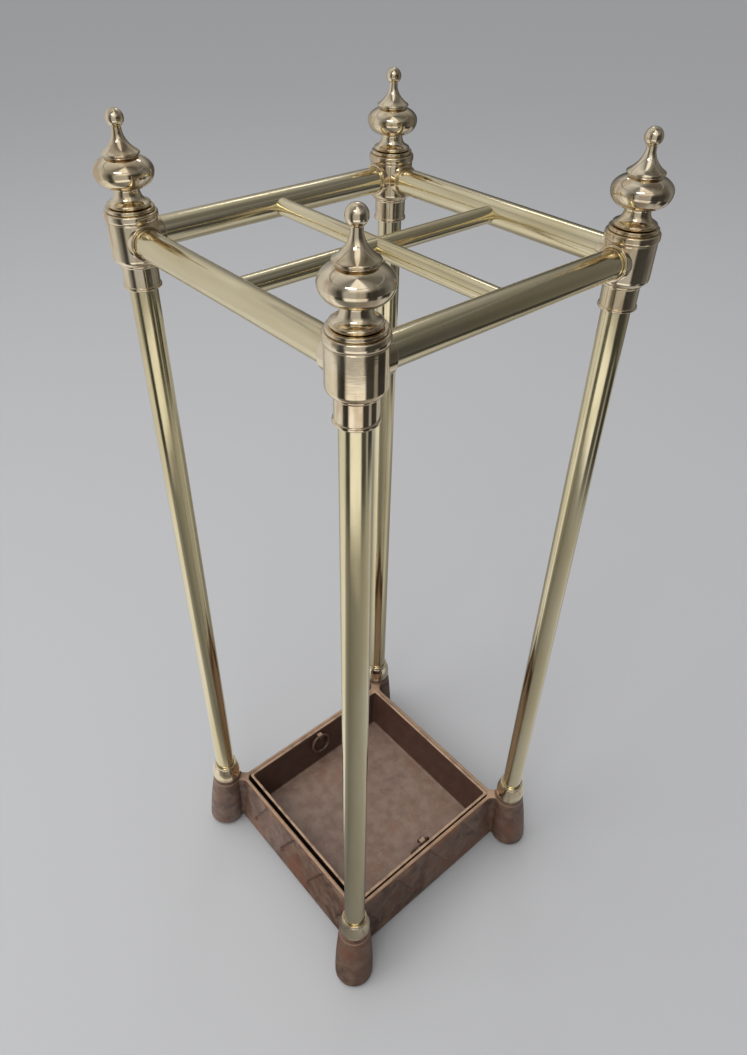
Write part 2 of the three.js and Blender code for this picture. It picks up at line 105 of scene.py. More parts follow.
def turned(points, steps=96, closed=False):
    """A piece turned about Z from its outline; closed joins the last point to the first."""
    bm = bmesh.new()
    verts = [bm.verts.new((across, 0, height)) for across, height in points]
    pairs = list(zip(verts, verts[1:])) + ([(verts[-1], verts[0])] if closed else [])
    edges = [bm.edges.new(pair) for pair in pairs]
    bmesh.ops.spin(bm, geom=verts + edges, cent=(0, 0, 0), axis=(0, 0, 1), dvec=(0, 0, 0),
                   angle=FULL_TURN, steps=steps, use_merge=True, use_duplicate=False)
    bmesh.ops.remove_doubles(bm, verts=bm.verts[:], dist=1e-4)
    bmesh.ops.recalc_face_normals(bm, faces=bm.faces[:])
    return bm


def joined(shells):
    """One bmesh that holds all these, which are freed."""
    whole = bmesh.new()
    for shell in shells:
        part = bpy.data.meshes.new("part")
        shell.to_mesh(part)
        shell.free()
        whole.from_mesh(part)
        bpy.data.meshes.remove(part)
    return whole


def object_of(bm, name):
    data = bpy.data.meshes.new(name)
    bm.to_mesh(data)
    bm.free()
    made = bpy.data.objects.new(name, data)
    bpy.context.scene.collection.objects.link(made)
    return made


def with_modifiers_applied(piece):
    """The piece's mesh as its modifiers leave it, as a bmesh. The piece is removed."""
    bpy.context.view_layer.update()
    evaluated = piece.evaluated_get(bpy.context.evaluated_depsgraph_get())
    data = bpy.data.meshes.new_from_object(evaluated)
    bm = bmesh.new()
    bm.from_mesh(data)
    bpy.data.objects.remove(piece)
    bpy.data.meshes.remove(data)
    return bm


LOOKS = 10  # directions tried at each vertex
GOLDEN_ANGLE = 2.399963  # between one direction and the next, which spreads them evenly
OFF_SURFACE = 0.05


def mark_crevices(bm, reach):
    """Stores at each vertex the share of outward directions that meet the piece within reach."""
    tree = BVHTree.FromBMesh(bm)
    layer = bm.verts.layers.float.new("crevice")
    turns = [i * GOLDEN_ANGLE for i in range(LOOKS)]
    rises = [(i + 0.5) / LOOKS for i in range(LOOKS)]
    fan = [Vector((math.cos(t) * math.sqrt(1 - r * r), math.sin(t) * math.sqrt(1 - r * r), r))
           for t, r in zip(turns, rises)]
    for vert in bm.verts:
        outwards = Vector((0, 0, 1)).rotation_difference(vert.normal)
        start = vert.co + vert.normal * OFF_SURFACE
        hits = sum(tree.ray_cast(start, outwards @ way, reach)[0] is not None for way in fan)
        vert[layer] = hits / LOOKS


def placed(bm, name, body, replaced, material, place=Matrix(), keep=False, sharp=35):
    """Makes a piece's finished object, with its place in its mesh, in metres. The bmesh is freed
    unless it is to be kept for the next corner or side."""
    made = object_of(bm.copy() if keep else bm, name)
    made.data.transform(Matrix.Scale(MM, 4) @ place)
    made.data.shade_smooth()
    made.data.set_sharp_from_angle(angle=math.radians(sharp))
    made.data.materials.append(material)
    weighted = made.modifiers.new("even shading", "WEIGHTED_NORMAL")
    weighted.keep_sharp = True
    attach(made, body)
    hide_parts(replaced)
    return made


class Tone:
    """A value, colour or vector in a material's nodes. Arithmetic on it adds Math nodes."""

    def __init__(self, tree, socket=None):
        self.tree = tree
        self.socket = socket

    def node(self, kind, settings=None, inputs=None, output=0):
        made = self.tree.nodes.new(kind)
        for name, value in (settings or {}).items():
            if name == "stops":
                ramp = made.color_ramp
                while len(ramp.elements) < len(value):
                    ramp.elements.new(0.5)
                for element, (position, colour) in zip(ramp.elements, value):
                    element.position = position
                    element.color = colour
            else:
                setattr(made, name, value)
        for name, value in (inputs or {}).items():
            if isinstance(value, Tone):
                self.tree.links.new(value.socket, made.inputs[name])
            else:
                made.inputs[name].default_value = value
        return Tone(self.tree, made.outputs[output])

    def maths(self, operation, first, second=0.0):
        return self.node("ShaderNodeMath", {"operation": operation}, {0: first, 1: second})

    def __add__(self, other):
        return self.maths("ADD", self, other)

    __radd__ = __add__

    def __mul__(self, other):
        return self.maths("MULTIPLY", self, other)

    __rmul__ = __mul__

    def __sub__(self, other):
        return self.maths("SUBTRACT", self, other)

    def __rsub__(self, other):
        return self.maths("SUBTRACT", other, self)

    def between(self, low, high):
        """0 below low, 1 above high, and smooth in between."""
        return self.node("ShaderNodeMapRange", {"interpolation_type": "SMOOTHSTEP"},
                         {"Value": self, "From Min": low, "From Max": high})

    def blend(self, first, second):
        """The first colour where this is 0, and the second where it is 1."""
        return self.node("ShaderNodeMix", {"data_type": "RGBA"}, {0: self, 6: first, 7: second}, 2)

    def noise(self, size_mm, detail=3.0, rough=0.55, stretch=(1, 1, 1)):
        """Cloudy variation on this vector, in patches of that size, drawn out by stretch."""
        share = tuple(1 / s for s in stretch)
        place = self.node("ShaderNodeMapping", None, {"Vector": self, "Scale": share}, "Vector")
        return self.node("ShaderNodeTexNoise", None, {"Vector": place, "Scale": 1 / (size_mm * MM),
                         "Detail": detail, "Roughness": rough}, "Fac")


def rgb(red, green, blue):
    return (red, green, blue, 1.0)


def new_finish(name):
    """A new material, its shader node, and the Object coordinates in it."""
    material = bpy.data.materials.new(name)
    material.use_nodes = True
    tree = material.node_tree
    where = Tone(tree).node("ShaderNodeTexCoord", output="Object")
    return material, tree.nodes["Principled BSDF"], where


def feed(shader, **sockets):
    """Links or sets a shader's inputs, given with _ for each space in their names."""
    for name, value in sockets.items():
        socket = shader.inputs[name.replace("_", " ")]
        if isinstance(value, Tone):
            value.tree.links.new(value.socket, socket)
        else:
            socket.default_value = value


def bumped(height, distance_mm, strength=1.0, onto=None):
    """A Normal from a height, on top of another bump if one is given."""
    inputs = {"Height": height, "Distance": distance_mm * MM, "Strength": strength}
    if onto:
        inputs["Normal"] = onto
    return height.node("ShaderNodeBump", None, inputs, "Normal")


PAINTED_WALL_SHADE = rgb(0.040, 0.016, 0.011)


def iron_finish(name, lacquer, dark, worn, rust, sheen, rim_height=None, floor_height=None):
    """Brown-lacquered sand casting: mottled, darkened in its crevices as painted shade, worn pale
    along its rim. Above a floor that wet sticks have rubbed, the walls are painted a dark
    red-brown, which is painted shade."""
    material, shader, where = new_finish(name)
    patches = where.noise(34, 4)
    mottle = where.noise(10, 5, 0.6)
    grain = where.noise(0.9, 3, 0.6)
    pits = where.noise(2.6, 4, 0.7)
    crevice = where.node("ShaderNodeAttribute", {"attribute_name": "crevice"}, None, "Fac")
    colour = mottle.between(0.3, 0.72).blend(lacquer, dark)
    rusty = patches.between(0.44, 0.66) * mottle.between(0.40, 0.62) * 0.8
    colour = rusty.blend(colour, rust)
    # Blending towards the dark colour where the crevice mask is high is painted shade.
    colour = (crevice.between(0.25, 0.8) * 0.7).blend(colour, dark)
    rubbed = pits.between(0.56, 0.7) * patches.between(0.4, 0.6) * 0.35
    height = where.node("ShaderNodeSeparateXYZ", None, {"Vector": where}, "Z")
    # Above the floor the walls are painted a dark red-brown: this is painted shade.
    if floor_height:
        wall = height.between((floor_height + 0.4) * MM, (floor_height + 2.2) * MM)
        colour = (wall * (0.78 + 0.2 * mottle)).blend(colour, PAINTED_WALL_SHADE)
        rubbed = rubbed * (1 - 0.7 * wall)
    if rim_height:
        rim = height.between((rim_height - 1.1) * MM, (rim_height - 0.3) * MM)
        rim = rim * (1 - height.between((rim_height + 0.5) * MM, (rim_height + 1.2) * MM))
        rubbed = rim * (0.4 + 0.6 * mottle.between(0.3, 0.6)) * 0.9 + (1 - rim) * rubbed
    colour = rubbed.blend(colour, worn)
    feed(shader, Base_Color=colour, Metallic=0.0, IOR=1.5,
         Roughness=sheen + 0.22 * mottle + 0.18 * pits.between(0.5, 0.75) + 0.2 * crevice,
         Normal=bumped(grain, 0.12, 0.5, bumped(pits, 0.35, 0.45, bumped(patches, 1.2, 0.25))))
    return material


IRON = iron_finish(
    "brown_lacquered_iron", lacquer=rgb(0.155, 0.090, 0.058), dark=rgb(0.060, 0.030, 0.020),
    worn=rgb(0.30, 0.19, 0.115), rust=rgb(0.185, 0.066, 0.030), sheen=0.36, rim_height=RIM_TOP)

LEDGE_TOP, LEDGE_THICK, LEDGE_HALF = 24.7, 4.0, 63.9
LEDGE_ROOT = 84.0  # the ledge starts inside the wall's thickness
LIP_HALF, LIP_FOOT_HALF = RIM_HALF + 0.9, RIM_HALF + 0.3
WALL_CORNER, LEDGE_CORNER = 1.6, 4.0
inner = [(RIM_HALF - WALL, RIM_TOP, 0.7), (SKIRT_HALF - WALL, SKIRT_FOOT, 1.0)]
outer = [(SKIRT_HALF, SKIRT_FOOT, 1.0), (LIP_FOOT_HALF, RIM_TOP - 3.6, 0.6),
         (LIP_HALF, RIM_TOP - 2.8, 0.4), (LIP_HALF, RIM_TOP, 0.7)]
walls = drawn_square(softened(outer + inner), WALL_CORNER)
ledge_outline = [(LEDGE_ROOT, LEDGE_TOP - LEDGE_THICK), (LEDGE_ROOT, LEDGE_TOP),
                 (LEDGE_HALF, LEDGE_TOP), (LEDGE_HALF, LEDGE_TOP - LEDGE_THICK)]
ledge = drawn_square(ledge_outline, LEDGE_CORNER)

# The pendants hang from the lip, point down, and end in a pellet.
PENDANT_PITCH, PENDANT_HALF, PENDANT_TOP, PENDANT_TIP = 40.5, 19.0, 59.5, 23.5
PELLET_R, PELLET_HEIGHT, PELLET_PROUD = 2.3, PENDANT_TIP - 1.5, 0.3
RELIEF, SUNK = 2.0, 1.0  # a panel stands proud by the one, and starts inside the wall by the other
lean = math.atan((SKIRT_HALF - RIM_HALF) / (RIM_TOP - SKIRT_FOOT))


def wall_half(height):
    return RIM_HALF + (RIM_TOP - height) * math.tan(lean)


pendants = []
for step in (-1.5, -0.5, 0.5, 1.5):
    panel = bmesh.new()
    middle = step * PENDANT_PITCH
    outline = [(middle - PENDANT_HALF, PENDANT_TOP), (middle, PENDANT_TIP),
               (middle + PENDANT_HALF, PENDANT_TOP)]
    face = panel.faces.new([panel.verts.new((x, -wall_half(z) + SUNK, z)) for x, z in outline])
    made = bmesh.ops.extrude_face_region(panel, geom=[face])["geom"]
    out = [g for g in made if isinstance(g, bmesh.types.BMVert)]
    bmesh.ops.translate(panel, vec=(0, -RELIEF - SUNK, 0), verts=out)
    bmesh.ops.bevel(panel, geom=[e for e in panel.edges if all(v in out for v in e.verts)],
                    offset=0.5, offset_type="OFFSET", segments=2, profile=0.5, affect="EDGES",
                    material=-1)
    bmesh.ops.recalc_face_normals(panel, faces=panel.faces[:])
    pellet = bmesh.new()
    at = Matrix.Translation((middle, -wall_half(PELLET_HEIGHT) - PELLET_PROUD, PELLET_HEIGHT))
    bmesh.ops.create_uvsphere(pellet, u_segments=16, v_segments=10, radius=PELLET_R, matrix=at)
    pendants += [panel, pellet]
front_relief = joined(pendants)

# A foot is turned, with a rounded sole and a slightly swollen leg, and then splays outwards.
FOOT_SPLAY, SOLE_R, SOLE_ROUND, ANKLE_R, ANKLE_EDGE, SWELL = 6.0, 15.8, 5.5, 12.0, 0.8, 0.8
LEG_STEPS = 12
foot_outline = [(0, 0)] + [
    (SOLE_R - SOLE_ROUND + SOLE_ROUND * math.sin(math.radians(t)),
     SOLE_ROUND - SOLE_ROUND * math.cos(math.radians(t)))
    for t in range(0, 91, 10)]
for step in range(1, LEG_STEPS):
    t = step / LEG_STEPS
    foot_outline.append((SOLE_R + (ANKLE_R - SOLE_R) * t + 4 * SWELL * t * (1 - t),
                         SOLE_ROUND + (FOOT_TOP - SOLE_ROUND) * t))
foot_outline += [(ANKLE_R, FOOT_TOP - ANKLE_EDGE), (ANKLE_R - ANKLE_EDGE, FOOT_TOP), (0, FOOT_TOP)]
# A web's station along the diagonal, its half-width there, and its top
WEB_STATIONS = [(111.0, 5.4, 62.0), (115.0, 4.4, 62.2), (119.0, 4.3, 62.8), (125.0, 5.0, 63.4)]
WEB_FOOT = 8.0
castings = [walls, ledge]
for quarter, (x, y) in enumerate(CORNERS.values()):
    wall_relief = front_relief.copy()
    bmesh.ops.rotate(wall_relief, cent=(0, 0, 0), verts=wall_relief.verts[:],
                     matrix=Matrix.Rotation(quarter * QUARTER_TURN, 3, "Z"))
    castings.append(wall_relief)
    foot = turned(foot_outline, 64)
    splay = Matrix.Identity(4)
    for row, way in enumerate((x, y)):
        splay[row][2] = -way * FOOT_SPLAY / FOOT_TOP / math.sqrt(2)
        splay[row][3] = way * FOOT_SPLAY / math.sqrt(2)
    bmesh.ops.transform(foot, matrix=Matrix.Translation((x * AXIS, y * AXIS, 0)) @ splay,
                        verts=foot.verts[:])
    castings.append(foot)
    web = bmesh.new()
    start, half_width, top = WEB_STATIONS[0]
    section = [(start, -half_width, WEB_FOOT), (start, half_width, WEB_FOOT),
               (start, half_width, top), (start, -half_width, top)]
    face = web.faces.new([web.verts.new(corner) for corner in section])
    for along, next_half, next_top in WEB_STATIONS[1:]:
        made = bmesh.ops.extrude_discrete_faces(web, faces=[face])["faces"]
        face = made[0]
        bmesh.ops.translate(web, vec=(along - start, 0, 0), verts=face.verts[:])
        for vert in face.verts:
            vert.co.y = math.copysign(next_half, vert.co.y)
            if vert.co.z > WEB_FOOT + 1:
                vert.co.z = next_top
        start = along
    bmesh.ops.holes_fill(web, edges=web.edges[:])
    bmesh.ops.recalc_face_normals(web, faces=web.faces[:])
    bmesh.ops.rotate(web, cent=(0, 0, 0), matrix=Matrix.Rotation(math.atan2(y, x), 3, "Z"),
                     verts=web.verts[:])
    castings.append(web)
front_relief.free()

# The parts run together in the pour: the skin over all of them is drawn afresh, with fillets.
GRAIN_OF_SKIN, QUICK_GRAIN = 0.85, 1.6
casting = object_of(joined(castings), "casting")
skin = casting.modifiers.new("poured skin", "REMESH")
skin.mode = "VOXEL"
skin.voxel_size = GRAIN_OF_SKIN
soft = casting.modifiers.new("sand softness", "SMOOTH")
soft.iterations = 2
soft.factor = 0.5
thin = casting.modifiers.new("fewer faces", "DECIMATE")
thin.ratio = 0.35

# The bore for the tie rod and the pocket for its nut are drilled in each foot afterwards.
NUT_POCKET_R, NUT_POCKET, ROD_BORE_R = 7.2, 13.0, 3.4
drills = []
for x, y in CORNERS.values():
    drill = turned([(0, -1), (NUT_POCKET_R, -1), (NUT_POCKET_R, NUT_POCKET),
                    (ROD_BORE_R, NUT_POCKET), (ROD_BORE_R, FOOT_TOP + 1), (0, FOOT_TOP + 1)], 48)
    bmesh.ops.translate(drill, vec=(x * AXIS, y * AXIS, 0), verts=drill.verts[:])
    drills.append(drill)
drill = object_of(joined(drills), "drill")
bores = casting.modifiers.new("bores", "BOOLEAN")
bores.operation = "DIFFERENCE"
bores.object = drill
bores.solver = "MANIFOLD"
casting = with_modifiers_applied(casting)
bpy.data.objects.remove(drill)
bmesh.ops.recalc_face_normals(casting, faces=casting.faces[:])
mark_crevices(casting, 7)
placed(casting, "iron_base", "stand", "base_casting", IRON, sharp=60)


# ---- Drip tray ----
# A separate cast-iron dish that drops into the base onto the ledge and catches the drips. Its walls
# lean in, and an eye for a ring is cast on the front and the back wall.

TRAY_RIM, TRAY_BASE, TRAY_FLOOR = 63.0, 25.0, 28.0
TRAY_HALF_X, TRAY_HALF_Y, TRAY_DRAFT, TRAY_SHIFT = 78.4, 79.5, 8.5, 1.1
TRAY_WALL, TRAY_CORNER, HEEL = 2.4, 1.8, 2.0
FLOOR_MIDDLE_HALF = TRAY_HALF_Y - 20  # the plain middle of the floor, filled by one face
TRAY_LEAN = TRAY_DRAFT / (TRAY_RIM - TRAY_FLOOR)
EYE_HEIGHT, EYE_Y, EYE_HALF_WIDTH = 59.0, 72.93, 2.5
EYE_HOLE_R, EYE_R = 2.05, 3.8

# The tray's walls above its floor get painted shade in their colour.
TRAY_IRON = iron_finish(
    "brown_lacquered_tray", lacquer=rgb(0.168, 0.110, 0.081), dark=rgb(0.112, 0.068, 0.049),
    worn=rgb(0.35, 0.23, 0.145), rust=rgb(0.155, 0.084, 0.055), sheen=0.26, rim_height=TRAY_RIM,
    floor_height=TRAY_FLOOR)

dish_outline = softened([
    (TRAY_HALF_Y - TRAY_DRAFT, TRAY_BASE, HEEL), (TRAY_HALF_Y, TRAY_RIM, 0.8),
    (TRAY_HALF_Y - TRAY_WALL, TRAY_RIM, 0.8),
    (TRAY_HALF_Y - TRAY_WALL - TRAY_DRAFT, TRAY_FLOOR, 2.2), (FLOOR_MIDDLE_HALF, TRAY_FLOOR, 0)], 5)
dish_outline[0] = Vector((TRAY_HALF_Y - TRAY_DRAFT - HEEL, TRAY_BASE))
dish = drawn_square(dish_outline, TRAY_CORNER, cuts=40, capped=True)
bmesh.ops.scale(dish, vec=(TRAY_HALF_X / TRAY_HALF_Y, 1, 1), verts=dish.verts[:])
eyes = []
for side in (-1, 1):
    eye = turned(softened([(EYE_HOLE_R, -EYE_HALF_WIDTH, 0.4), (EYE_R, -EYE_HALF_WIDTH, 0.6),
                           (EYE_R, EYE_HALF_WIDTH, 0.6), (EYE_HOLE_R, EYE_HALF_WIDTH, 0.4)]), 40,
                 closed=True)
    bmesh.ops.rotate(eye, cent=(0, 0, 0), matrix=Matrix.Rotation(QUARTER_TURN, 3, "Y"),
                     verts=eye.verts[:])
    bmesh.ops.translate(eye, vec=(0, side * EYE_Y, EYE_HEIGHT), verts=eye.verts[:])
    eyes.append(eye)
tray = joined([dish] + eyes)
bmesh.ops.translate(tray, vec=(TRAY_SHIFT, 0, 0), verts=tray.verts[:])
mark_crevices(tray, 12)
placed(tray, "iron_drip_tray", "tray", "drip_tray", TRAY_IRON, sharp=50)


# ---- Ring pulls ----
# Two rings bent from iron rod and closed through the eyes of the tray. They hang loose against the
# walls, and the tray is lifted out by them.

RING_R, RING_WIRE_R = 9.5, 1.4
EYE_OFF_WALL, RING_CLEARANCE = 3.2, 0.3
RING_IRON = iron_finish(
    "dark_ring_iron", lacquer=rgb(0.10, 0.062, 0.045), dark=rgb(0.040, 0.024, 0.018),
    worn=rgb(0.24, 0.17, 0.12), rust=rgb(0.12, 0.05, 0.025), sheen=0.34)

wire = bmesh.new()
bmesh.ops.create_circle(
    wire, segments=16, radius=RING_WIRE_R,
    matrix=Matrix.Translation((RING_R, 0, 0)) @ Matrix.Rotation(QUARTER_TURN, 4, "X"))
bmesh.ops.spin(wire, geom=wire.verts[:] + wire.edges[:], cent=(0, 0, 0), axis=(0, 0, 1),
               dvec=(0, 0, 0), angle=FULL_TURN, steps=64, use_merge=True, use_duplicate=False)
bmesh.ops.recalc_face_normals(wire, faces=wire.faces[:])
bmesh.ops.translate(wire, vec=(0, -RING_R, 0), verts=wire.verts[:])
swing = math.asin((EYE_OFF_WALL - RING_WIRE_R - RING_CLEARANCE) / (2 * RING_R))
hang = math.atan(TRAY_LEAN) - swing
for side, end in ((-1, "front"), (1, "back")):
    place = (Matrix.Translation((TRAY_SHIFT, side * EYE_Y, EYE_HEIGHT))
             @ Matrix.Rotation(QUARTER_TURN - side * hang, 4, "X"))
    placed(wire, "ring_" + end, "ring_" + end, "ring_pull_" + end, RING_IRON, place,
           keep=True)
wire.free()


# ---- Foot collars ----
# Turned from brass bar, one on each foot. The upright stands in the bore, on a seat, and the rod
# inside clamps the collar to the iron. Polished, with lathe lines and tarnish at the seams.

COLLAR_BASE, COLLAR_TOP, COLLAR_SEAT = 67.3, 84.3, 72.3
COLLAR_R, GROOVE_R, BAND_R, BAND_FOOT = 12.2, 11.8, 9.7, 82.1
TUBE_R = 7.95
TUBE_BORE_R = TUBE_R + 0.1
FRESH_TARNISH, OLD_TARNISH, PAINTED_REFLECTION_BROWN = (
    rgb(0.40, 0.27, 0.12), rgb(0.17, 0.095, 0.040), rgb(0.50, 0.36, 0.23))


def brass_finish(name, bright, deep, polish, stretch, lines, reflection_streaks=0.0):
    """Polished brass: fine tool lines, given as (size, stretch), hazy patches, and brown tarnish in
    its crevices. Its last argument sets the strength of brown streaks down its sides, which are a
    painted reflection of dark things round about."""
    material, shader, where = new_finish(name)
    haze = where.noise(24, 3, 0.6, stretch)
    smear = where.noise(6, 4, 0.6, stretch)
    line_size, line_stretch = lines
    tool = where.noise(line_size, 2, 0.5, line_stretch)
    dent = where.noise(38, 2, 0.4)
    speck = where.noise(1.7, 3, 0.7)
    crevice = where.node("ShaderNodeAttribute", {"attribute_name": "crevice"}, None, "Fac")
    grime = crevice.between(0.3, 0.85) * (0.55 + 0.45 * smear)
    spots = speck.between(0.62, 0.74) * haze.between(0.42, 0.65) * 0.5
    colour = haze.between(0.35, 0.68).blend(bright, deep)
    colour = (grime * 0.85).blend(colour, OLD_TARNISH)
    colour = spots.blend(colour, FRESH_TARNISH)
    # Brown streaks down the sides are a painted reflection of dark things round about.
    if reflection_streaks:
        reflection_streak = where.noise(7, 2, 0.5, (1, 1, 5))
        colour = (reflection_streak.between(0.50, 0.62) * reflection_streaks).blend(colour, PAINTED_REFLECTION_BROWN)
    feed(shader, Base_Color=colour, Metallic=1.0,
         Roughness=polish + 0.10 * smear.between(0.35, 0.75) + 0.3 * grime + 0.25 * spots,
         Normal=bumped(tool, 0.02, 0.35, bumped(dent, 1.0, 0.16)))
    return material


# Its brown streaks are painted reflection.
TURNED_BRASS = brass_finish(
    "polished_turned_brass", bright=rgb(0.83, 0.73, 0.56), deep=rgb(0.76, 0.64, 0.44), polish=0.05,
    stretch=(1, 1, 1), lines=(0.5, (30, 30, 1)), reflection_streaks=0.55)

collar_outline = softened([
    (ROD_BORE_R, COLLAR_BASE, 0), (COLLAR_R, COLLAR_BASE, 0.9), (COLLAR_R, COLLAR_BASE + 1.6, 0.5),
    (GROOVE_R, COLLAR_BASE + 2.0, 0.2), (COLLAR_R, COLLAR_BASE + 2.4, 0.4),
    (COLLAR_R, COLLAR_BASE + 8.5, 6.5), (BAND_R + 0.2, BAND_FOOT, 1.2),
    (BAND_R - 0.15, BAND_FOOT, 0.15), (BAND_R, BAND_FOOT + 0.3, 0.15), (BAND_R, COLLAR_TOP, 0.6),
    (TUBE_BORE_R, COLLAR_TOP, 0.3), (TUBE_BORE_R, COLLAR_SEAT, 0), (ROD_BORE_R, COLLAR_SEAT, 0)], 6)
collar = turned(collar_outline, 96, closed=True)
mark_crevices(collar, 3)
for corner, (x, y) in CORNERS.items():
    placed(collar, "collar_" + corner, "stand", "foot_collar_" + corner, TURNED_BRASS,
           Matrix.Translation((x * AXIS, y * AXIS, 0)), keep=True)
collar.free()


# ---- Uprights ----
# Lengths of drawn brass tube, buffed lengthwise and then lacquered, held between the foot collar's
# seat and the corner socket's bore by the rod inside.

UPRIGHT_FOOT, UPRIGHT_TOP = 72.6, 550.6
TUBE_WALL = 1.2
LINE_SIZE, LINE_STRETCH = 0.6, 60  # of the fine lines that the buff leaves along a tube
UPRIGHT_BRASS = brass_finish(
    "buffed_upright_tube", bright=rgb(0.80, 0.72, 0.50), deep=rgb(0.70, 0.615, 0.385), polish=0.10,
    stretch=(1, 1, 7), lines=(LINE_SIZE, (1, 1, LINE_STRETCH)))


def tube(radius, wall, start, end, cuts=0):
    """A tube about Z, its edges broken, and cut crosswise so that its shading can vary."""
    bm = turned(softened([(radius - wall, start, 0.2), (radius, start, 0.2), (radius, end, 0.2),
                          (radius - wall, end, 0.2)], 2), 72, closed=True)
    if cuts:
        long_edges = [e for e in bm.edges if e.calc_length() > 0.9 * (end - start)]
        bmesh.ops.subdivide_edges(bm, edges=long_edges, cuts=cuts, use_grid_fill=True)
    return bm


upright = tube(TUBE_R, TUBE_WALL, UPRIGHT_FOOT, UPRIGHT_TOP, 12)
for corner, (x, y) in CORNERS.items():
    placed(upright, "tube_" + corner, "stand", "upright_" + corner, UPRIGHT_BRASS,
           Matrix.Translation((x * AXIS, y * AXIS, 0)), keep=True)
upright.free()


# ---- Corner sockets ----
# Brass castings turned bright outside, bored for the upright below and for a rail on two sides. A
# bead and a step finish the top, under the finial.

SOCKET_BASE, SOCKET_TOP, RAIL_HEIGHT = 538.25, 581.65, 565.15
MOUTH_R, NECK_R, SHOULDER_R, BARREL_R, BEAD_R, STEP_R = 10.6, 9.9, 10.8, 13.6, 14.3, 12.9
BEAD_FOOT, BEAD_TOP = 575.6, 579.4
PORT_R, PORT_END, PORT_ROOT, RAIL_SEAT = 9.6, 14.6, 4.0, 10.0
socket_outline = softened([
    (0, SOCKET_BASE + 2, 0), (TUBE_BORE_R, SOCKET_BASE + 2, 0), (TUBE_BORE_R, SOCKET_BASE, 0.2),
    (MOUTH_R, SOCKET_BASE, 0.5), (MOUTH_R, SOCKET_BASE + 1.6, 0.6),
    (NECK_R, SOCKET_BASE + 2.0, 0.2), (NECK_R, SOCKET_BASE + 12.6, 0.4),
    (SHOULDER_R, SOCKET_BASE + 13.2, 0.3),
    (SHOULDER_R, SOCKET_BASE + 14.2, 0.4), (BARREL_R, SOCKET_BASE + 15.6, 2.6),
    (BARREL_R, BEAD_FOOT - 1.2, 0.3), (BARREL_R - 0.4, BEAD_FOOT - 0.8, 0.2),
    (BARREL_R - 0.4, BEAD_FOOT - 0.4, 0.2), (BEAD_R, BEAD_FOOT, 1.6), (BEAD_R, BEAD_TOP, 1.8),
    (STEP_R - 0.5, BEAD_TOP + 0.2, 0.2), (STEP_R, BEAD_TOP + 0.6, 0.4), (STEP_R, SOCKET_TOP, 0.5),
    (0, SOCKET_TOP, 0)], 6)
barrel = turned(socket_outline, 128)
port_outline = softened([
    (TUBE_BORE_R, PORT_END, 0.3), (PORT_R, PORT_END, 0.6), (PORT_R, PORT_ROOT, 0),
    (TUBE_BORE_R, PORT_ROOT, 0)], 5)
ports = []
for towards in (Matrix.Rotation(QUARTER_TURN, 3, "Y"), Matrix.Rotation(-QUARTER_TURN, 3, "X")):
    port = turned(port_outline, 96, closed=True)
    bmesh.ops.rotate(port, cent=(0, 0, 0), matrix=towards, verts=port.verts[:])
    bmesh.ops.translate(port, vec=(0, 0, RAIL_HEIGHT), verts=port.verts[:])
    ports.append(port)
socket = joined([barrel] + ports)
mark_crevices(socket, 3)
for quarter, (corner, (x, y)) in enumerate(CORNERS.items()):
    turn = Matrix.Rotation(quarter * QUARTER_TURN, 4, "Z")
    placed(socket, "socket_" + corner, "stand", "corner_socket_" + corner, TURNED_BRASS,
           Matrix.Translation((x * AXIS, y * AXIS, 0)) @ turn, keep=True)
socket.free()


# ---- Top rails ----
# The same drawn tube as the uprights, cut short. Each end slips into a socket's port, so the four
# rails square the top and keep the uprights apart.

END_GAP = 0.3
RAIL_HALF = AXIS - RAIL_SEAT - END_GAP
RAIL_BRASS = {
    axis: brass_finish(
        "buffed_rail_tube_" + axis, bright=rgb(0.80, 0.72, 0.51), deep=rgb(0.71, 0.62, 0.39),
        polish=0.12, stretch=stretch, lines=(LINE_SIZE, line_stretch))
    for axis, stretch, line_stretch in (("x", (5, 1, 1), (LINE_STRETCH, 1, 1)),
                                        ("y", (1, 5, 1), (1, LINE_STRETCH, 1)))}

rail = tube(TUBE_R, TUBE_WALL, -RAIL_HALF, RAIL_HALF, 6)
bmesh.ops.rotate(rail, cent=(0, 0, 0), matrix=Matrix.Rotation(QUARTER_TURN, 3, "Y"),
                 verts=rail.verts[:])
for quarter, side in enumerate(("front", "right", "back", "left")):
    turn = Matrix.Rotation(quarter * QUARTER_TURN, 4, "Z")
    placed(rail, "rail_tube_" + side, "stand", "rail_" + side,
           RAIL_BRASS["y" if quarter % 2 else "x"],
           turn @ Matrix.Translation((0, -AXIS, RAIL_HEIGHT)), keep=True)
rail.free()


# ---- Cross bars ----
# Two thinner brass bars that divide the top into four. They are halved into each other in the
# middle, and their ends are coped and pinned to the rails.

BAR_R, BAR_EDGE = 5.0, 0.3
BAR_HALF = AXIS - 7  # just inside the rail's skin
bar_outline = softened([(0, -BAR_HALF, 0), (BAR_R, -BAR_HALF, BAR_EDGE),
                        (BAR_R, BAR_HALF, BAR_EDGE), (0, BAR_HALF, 0)], 3)
for ends, axis, turned_about in (("left_right", "x", "Y"), ("front_back", "y", "X")):
    turn = Matrix.Rotation(QUARTER_TURN, 4, turned_about)
    placed(turned(bar_outline, 56), "divider_" + ends, "stand", "cross_bar_" + ends,
           RAIL_BRASS[axis], Matrix.Translation((0, 0, RAIL_HEIGHT)) @ turn)


# ---- Finials ----
# Each is turned from brass in one piece: a cup, a flattened bulb, a flared spire and a ball. It
# screws onto the rod that draws the corner together, so the cup bears on the socket.

